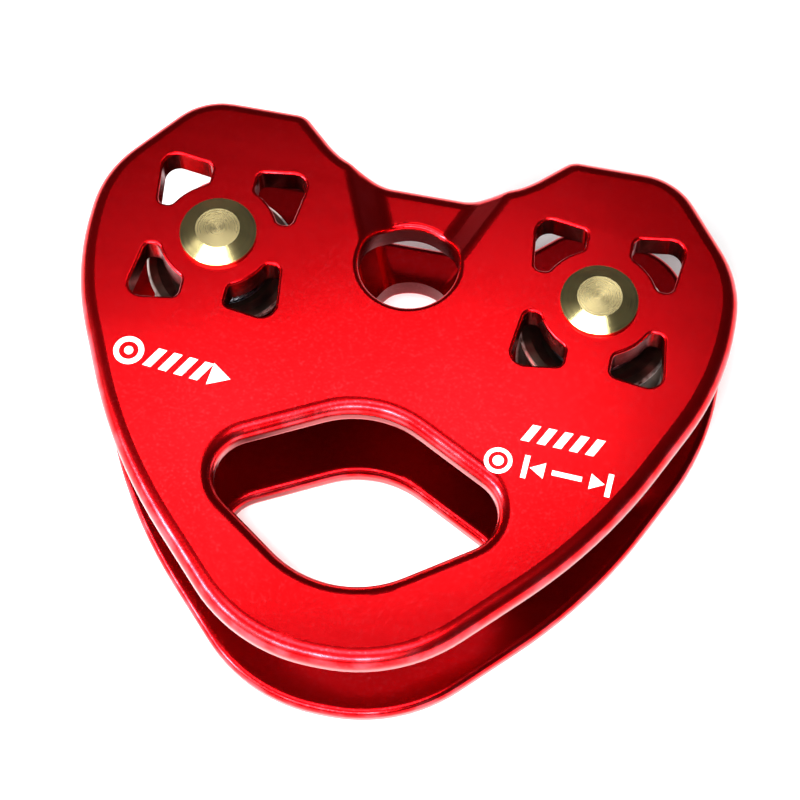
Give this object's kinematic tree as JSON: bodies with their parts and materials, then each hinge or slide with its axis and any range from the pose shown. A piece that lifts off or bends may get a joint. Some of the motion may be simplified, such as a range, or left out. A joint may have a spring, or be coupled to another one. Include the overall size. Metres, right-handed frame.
{
  "type": "rope pulley",
  "caption": "Tandem rope pulley with two fixed heart-shaped side plates, in-line grooved sheaves on ball bearings, a connector opening and a tab hole.",
  "frame": {"origin": "centre of the bounding box's bottom, on the plane of the rear axle heads' flats", "axes": "+Z out of the front plate, +Y from the heart's tip to its lobes, +X along the line of the two axles"},
  "size_m": [0.1044, 0.0914, 0.0328],
  "materials": {
    "red_anodised_plate": "satin red anodised over a bead-blasted surface",
    "brass_axle": "turned, clear coated",
    "steel_spacer": "turned steel",
    "bronze_sheave": "turned, dark bronze anodised",
    "spring_steel": "phosphated spring steel",
    "bearing_steel": "ground bearing steel",
    "brass_cage": "pressed brass"
  },
  "bodies": {
    "frame": {"front_side_plate": "red_anodised_plate", "rear_side_plate": "red_anodised_plate", "left_axle_pin": "brass_axle", "left_axle_cap": "brass_axle", "left_front_spacer": "steel_spacer", "left_rear_spacer": "steel_spacer", "left_bearing_inner_race": "bearing_steel", "right_axle_pin": "brass_axle", "right_axle_cap": "brass_axle", "right_front_spacer": "steel_spacer", "right_rear_spacer": "steel_spacer", "right_bearing_inner_race": "bearing_steel"},
    "left_wheel": {"left_sheave": "bronze_sheave", "left_retaining_ring": "spring_steel", "left_bearing_outer_race": "bearing_steel", "left_bearing_front_shield": "bearing_steel", "left_bearing_rear_shield": "bearing_steel"},
    "left_ball_set": {"left_bearing_balls": "bearing_steel", "left_bearing_cage": "brass_cage"},
    "right_wheel": {"right_sheave": "bronze_sheave", "right_retaining_ring": "spring_steel", "right_bearing_outer_race": "bearing_steel", "right_bearing_front_shield": "bearing_steel", "right_bearing_rear_shield": "bearing_steel"},
    "right_ball_set": {"right_bearing_balls": "bearing_steel", "right_bearing_cage": "brass_cage"}
  },
  "joints": [
    {"name": "left_sheave_spin", "type": "hinge", "parent": "frame", "child": "left_wheel", "pos_m": [-0.0306, 0.02045, 0.0164], "axis": [0, 0, 1], "continuous": true},
    {"name": "left_ball_set_spin", "type": "hinge", "parent": "frame", "child": "left_ball_set", "pos_m": [-0.0306, 0.02045, 0.0164], "axis": [0, 0, 1], "continuous": true},
    {"name": "right_sheave_spin", "type": "hinge", "parent": "frame", "child": "right_wheel", "pos_m": [0.0306, 0.02045, 0.0164], "axis": [0, 0, 1], "continuous": true},
    {"name": "right_ball_set_spin", "type": "hinge", "parent": "frame", "child": "right_ball_set", "pos_m": [0.0306, 0.02045, 0.0164], "axis": [0, 0, 1], "continuous": true}
  ],
  "couplings": [
    {"joint": "left_ball_set_spin", "follows": "left_sheave_spin", "ratio": 0.5917},
    {"joint": "right_ball_set_spin", "follows": "right_sheave_spin", "ratio": 0.5917}
  ]
}
